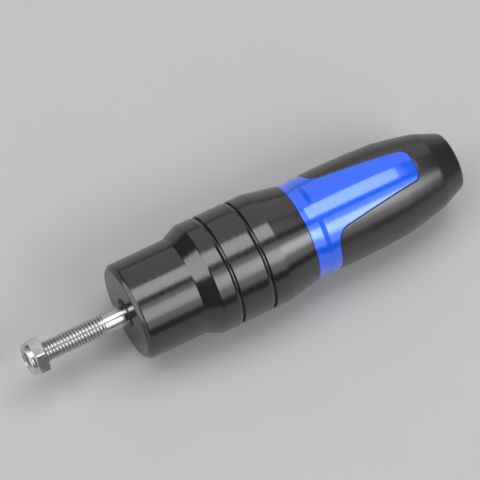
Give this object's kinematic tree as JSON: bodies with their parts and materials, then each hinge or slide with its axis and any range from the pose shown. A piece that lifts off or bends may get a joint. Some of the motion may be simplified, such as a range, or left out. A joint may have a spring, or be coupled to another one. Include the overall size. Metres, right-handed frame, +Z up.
{
  "type": "exhaust slider",
  "caption": "Turned black slider that bolts beside a motorcycle's exhaust to take the scrape in a fall, with a blue collar let into its nylon nose, and its bolt and lock nut.",
  "frame": {"origin": "on the axis of the bolt where it leaves the seat face, which meets what the slider is bolted to", "axes": "+X along the axis from the seat face to the nose, +Z up through the middle of the collar's tongue"},
  "size_m": [0.1737, 0.0426, 0.0426],
  "materials": {
    "black_anodised": "satin black anodised, turned",
    "blue_anodised": "glossy blue anodised",
    "black_nylon": "satin, turned black nylon",
    "plated_steel": "bright plated steel",
    "insert_nylon": "plain nylon"
  },
  "bodies": {
    "slider": {"mounting_spacer": "black_anodised", "middle_ring": "black_anodised", "tapered_body": "black_anodised", "accent_collar": "blue_anodised", "nose_slider": "black_nylon", "bolt_washer": "plated_steel"},
    "bolt": {"bolt": "plated_steel"},
    "nut": {"lock_nut": "plated_steel", "nut_insert": "insert_nylon"}
  },
  "joints": [
    {"name": "nut_travel", "type": "slide", "parent": "slider", "child": "nut", "axis": [1, 0, 0], "range_m": [0, 0.0225]},
    {"name": "bolt_turn", "type": "hinge", "parent": "slider", "child": "bolt", "pos_m": [0, 0, 0], "axis": [-1, 0, 0], "range_deg": [0, 6481]}
  ],
  "couplings": [
    {"joint": "bolt_turn", "follows": "nut_travel", "rad_per_m": 5026.5}
  ]
}
